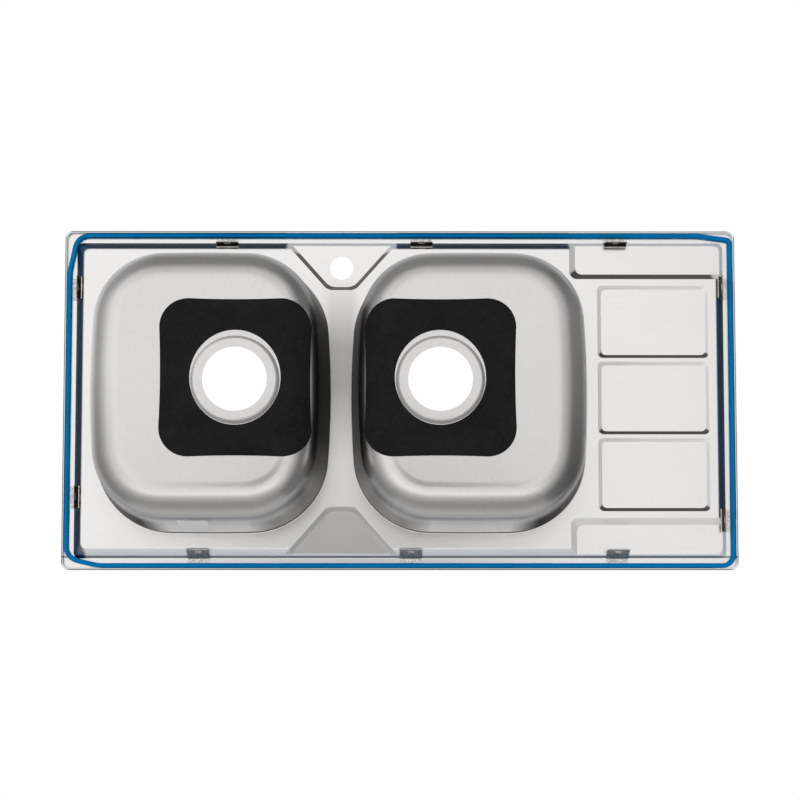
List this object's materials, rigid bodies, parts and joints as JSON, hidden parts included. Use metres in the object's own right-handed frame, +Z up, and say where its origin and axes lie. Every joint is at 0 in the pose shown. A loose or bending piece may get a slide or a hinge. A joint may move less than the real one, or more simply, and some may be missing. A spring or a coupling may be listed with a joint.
{
  "type": "inset kitchen sink",
  "caption": "Inset stainless steel kitchen sink: a pressed deck with bowls, drainer panels, tap hole, foam rim seal, sound pads and slotted clips.",
  "frame": {"origin": "middle of the rim, in the plane of the worktop that the hem rests on", "axes": "+X to the user's right, +Y to the tap side, +Z up out of the bowls"},
  "size_m": [1, 0.508, 0.1788],
  "materials": {
    "steel": "satin rolled stainless steel",
    "galvanised": "rough galvanised",
    "clip_steel": "dark oiled steel",
    "seal": "matt closed-cell foam",
    "sound_pad": "matt felted mat"
  },
  "bodies": {
    "root": {"deck": "steel", "rim_seal": "seal", "bowl_right": "steel", "sound_pad_right": "sound_pad", "bowl_left": "steel", "sound_pad_left": "sound_pad", "clip_base_back_1": "galvanised", "clip_plate_back_1": "clip_steel", "clip_base_back_2": "galvanised", "clip_plate_back_2": "clip_steel", "clip_base_back_3": "galvanised", "clip_plate_back_3": "clip_steel", "clip_base_front_1": "galvanised", "clip_plate_front_1": "clip_steel", "clip_base_front_2": "galvanised", "clip_plate_front_2": "clip_steel", "clip_base_front_3": "galvanised", "clip_plate_front_3": "clip_steel", "clip_base_right_1": "galvanised", "clip_plate_right_1": "clip_steel", "clip_base_right_2": "galvanised", "clip_plate_right_2": "clip_steel", "clip_base_left_1": "galvanised", "clip_plate_left_1": "clip_steel", "clip_base_left_2": "galvanised", "clip_plate_left_2": "clip_steel"}
  },
  "joints": []
}
